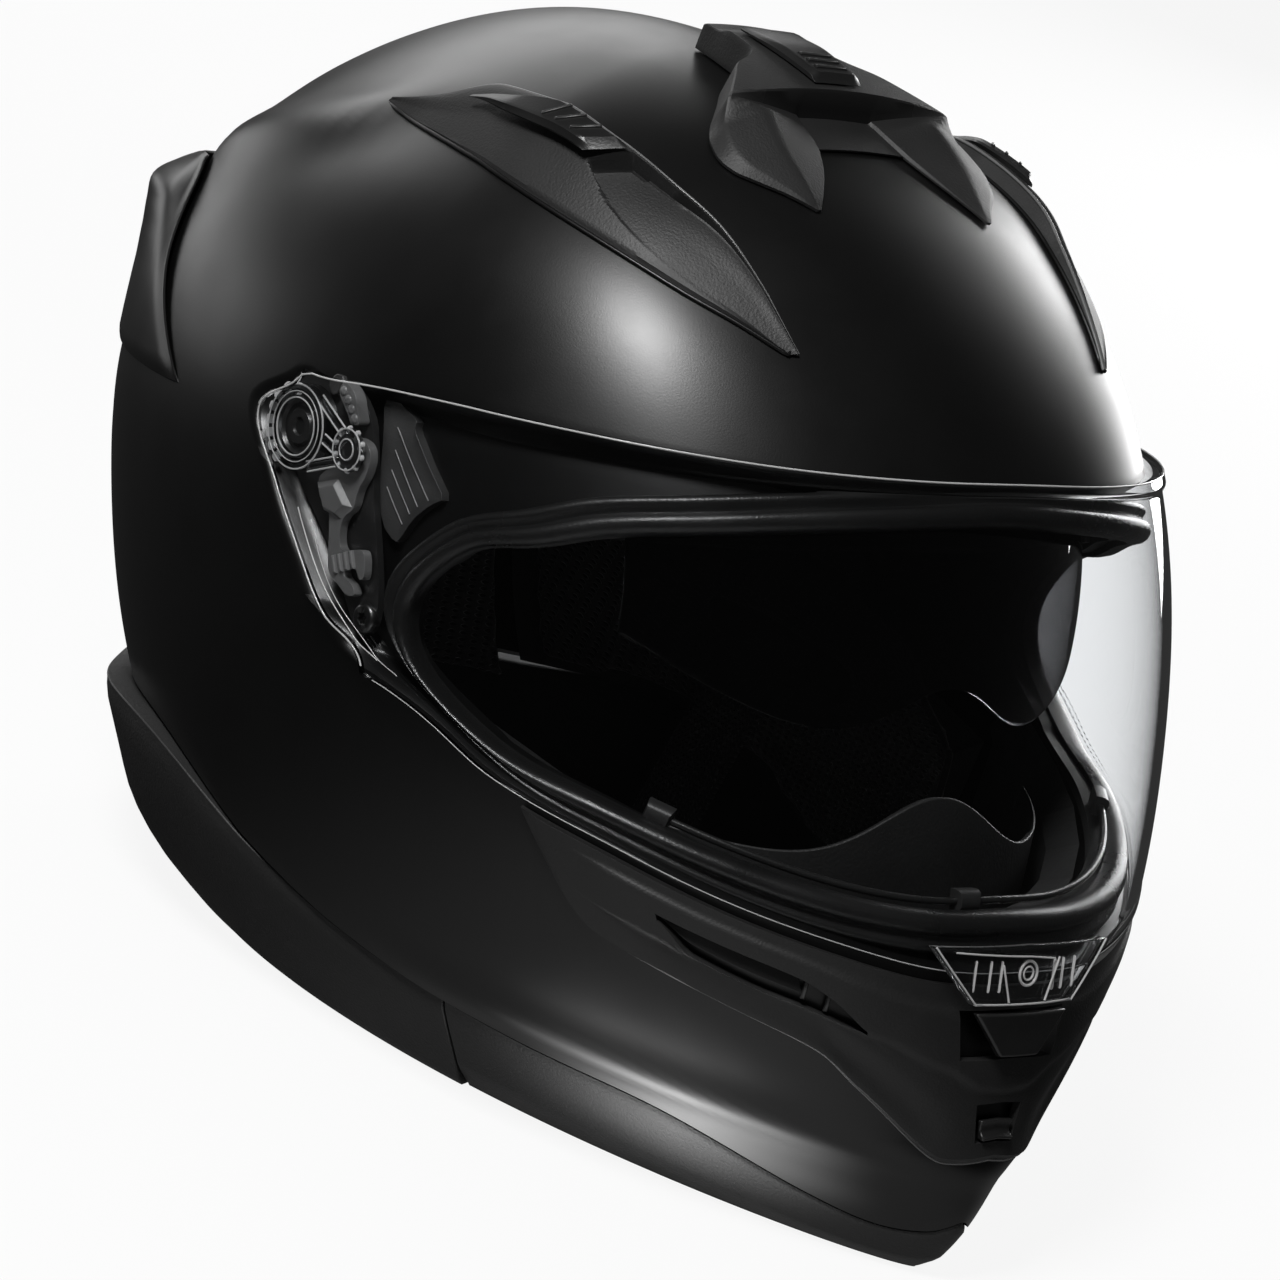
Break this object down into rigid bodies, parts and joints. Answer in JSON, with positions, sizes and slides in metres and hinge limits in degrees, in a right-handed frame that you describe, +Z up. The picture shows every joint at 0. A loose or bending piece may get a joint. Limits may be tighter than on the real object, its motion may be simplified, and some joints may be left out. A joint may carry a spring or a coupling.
{
  "type": "motorcycle helmet",
  "caption": "Full-face motorcycle helmet with a lifting clear visor, drop-down smoke sun visor, sliding vents, removable-look padding and a chin strap on paired rings.",
  "frame": {"origin": "on the table plane under the middle of the shell: centre of the neck opening, at the height of the rim's foot", "axes": "+X to the wearer's left, -Y the way the face looks, +Z up; the rim rests on Z = 0"},
  "size_m": [0.25, 0.3646, 0.2683],
  "materials": {
    "shell_satin_black": "satin black lacquer",
    "trim_grained_black": "fine grain",
    "grey_plastic": "smooth grey nylon",
    "clear_polycarbonate": "clear, polished",
    "smoke_polycarbonate": "smoke tint, polished",
    "black_rubber": "soft, slightly glossy",
    "dark_steel": "blackened",
    "bright_steel": "plated",
    "black_foam": "foam beads",
    "lining_fabric": "mesh and brushed knit",
    "black_webbing": "woven webbing"
  },
  "bodies": {
    "shell": {"outer_shell": "shell_satin_black", "eyeport_gasket": "black_rubber", "pivot_boss_right": "trim_grained_black", "pivot_boss_left": "trim_grained_black", "pivot_base_plate_right": "trim_grained_black", "pivot_base_plate_left": "trim_grained_black", "pivot_screws": "dark_steel", "lever_pins": "dark_steel", "detent_rack_right": "grey_plastic", "detent_rack_left": "grey_plastic", "chin_cover": "trim_grained_black", "chin_inlet_grille_right": "trim_grained_black", "chin_inlet_grille_left": "trim_grained_black", "front_rim": "trim_grained_black", "rear_collar": "trim_grained_black", "rear_spoiler": "shell_satin_black", "top_vent_cover": "trim_grained_black", "brow_vent_cover_right": "trim_grained_black", "brow_vent_cover_left": "trim_grained_black", "eps_liner": "black_foam", "chin_liner": "black_foam", "cheek_liner_right": "black_foam", "cheek_liner_left": "black_foam", "crown_pad": "lining_fabric", "cheek_pad_right": "lining_fabric", "cheek_pad_left": "lining_fabric", "neck_roll": "lining_fabric", "chin_curtain": "lining_fabric", "breath_deflector": "black_rubber", "sun_visor_pins": "dark_steel", "chin_strap_right": "black_webbing", "chin_strap_left": "black_webbing", "strap_anchors": "dark_steel"},
    "visor": {"visor": "clear_polycarbonate", "visor_pivot_ring_right": "clear_polycarbonate", "visor_pivot_ring_left": "clear_polycarbonate", "visor_lock_tab": "clear_polycarbonate"},
    "release_lever_right": {"release_lever_right": "grey_plastic"},
    "release_lever_left": {"release_lever_left": "grey_plastic"},
    "visor_lock_button": {"visor_lock_button": "trim_grained_black"},
    "chin_vent_slider": {"chin_vent_slider": "trim_grained_black"},
    "top_vent_slider": {"top_vent_slider": "trim_grained_black"},
    "brow_vent_slider_right": {"brow_vent_slider_right": "trim_grained_black"},
    "brow_vent_slider_left": {"brow_vent_slider_left": "trim_grained_black"},
    "sun_visor": {"sun_visor": "smoke_polycarbonate", "sun_visor_arm_right": "trim_grained_black", "sun_visor_arm_left": "trim_grained_black"},
    "sun_visor_lever": {"sun_visor_lever": "trim_grained_black"},
    "d_ring_outer": {"d_ring_outer": "bright_steel"},
    "d_ring_inner": {"d_ring_inner": "bright_steel"}
  },
  "joints": [
    {"name": "visor_hinge", "type": "hinge", "parent": "shell", "child": "visor", "pos_m": [0, 0.002, 0.153], "axis": [-1, 0, 0], "range_deg": [0, 55]},
    {"name": "release_hinge_right", "type": "hinge", "parent": "shell", "child": "release_lever_right", "pos_m": [-0.1187, -0.02, 0.154], "axis": [1, 0, 0], "range_deg": [0, 10], "stiffness_Nm_per_rad": 0.05, "springref_deg": -5.73},
    {"name": "release_hinge_left", "type": "hinge", "parent": "shell", "child": "release_lever_left", "pos_m": [0.1187, -0.02, 0.154], "axis": [1, 0, 0], "range_deg": [0, 10], "stiffness_Nm_per_rad": 0.05, "springref_deg": -5.73},
    {"name": "lock_button_press", "type": "slide", "parent": "shell", "child": "visor_lock_button", "axis": [0, 1, 0], "range_m": [0, 0.001], "stiffness_N_per_m": 500, "springref_m": -0.001},
    {"name": "chin_vent_slide", "type": "slide", "parent": "shell", "child": "chin_vent_slider", "axis": [0, 0.2, 0.9798], "range_m": [0, 0.003]},
    {"name": "top_vent_slide", "type": "slide", "parent": "shell", "child": "top_vent_slider", "axis": [0, 0.9798, 0.2], "range_m": [0, 0.008]},
    {"name": "brow_vent_slide_right", "type": "slide", "parent": "shell", "child": "brow_vent_slider_right", "axis": [0, 1, 0], "range_m": [0, 0.005]},
    {"name": "brow_vent_slide_left", "type": "slide", "parent": "shell", "child": "brow_vent_slider_left", "axis": [0, 1, 0], "range_m": [0, 0.005]},
    {"name": "sun_visor_hinge", "type": "hinge", "parent": "shell", "child": "sun_visor", "pos_m": [0, 0.005, 0.12], "axis": [-1, 0, 0], "range_deg": [0, 35]},
    {"name": "sun_visor_lever_slide", "type": "slide", "parent": "shell", "child": "sun_visor_lever", "axis": [0, 1, 0], "range_m": [0, 0.022]},
    {"name": "d_ring_outer_hinge", "type": "hinge", "parent": "shell", "child": "d_ring_outer", "pos_m": [-0.0615, 0.015, 0.03], "axis": [0, 1, 0], "range_deg": [0, 12]},
    {"name": "d_ring_inner_hinge", "type": "hinge", "parent": "shell", "child": "d_ring_inner", "pos_m": [-0.0556, 0.015, 0.03], "axis": [0, 1, 0], "range_deg": [-45, 0]}
  ],
  "couplings": [
    {"joint": "sun_visor_lever_slide", "follows": "sun_visor_hinge", "m_per_rad": 0.036}
  ]
}
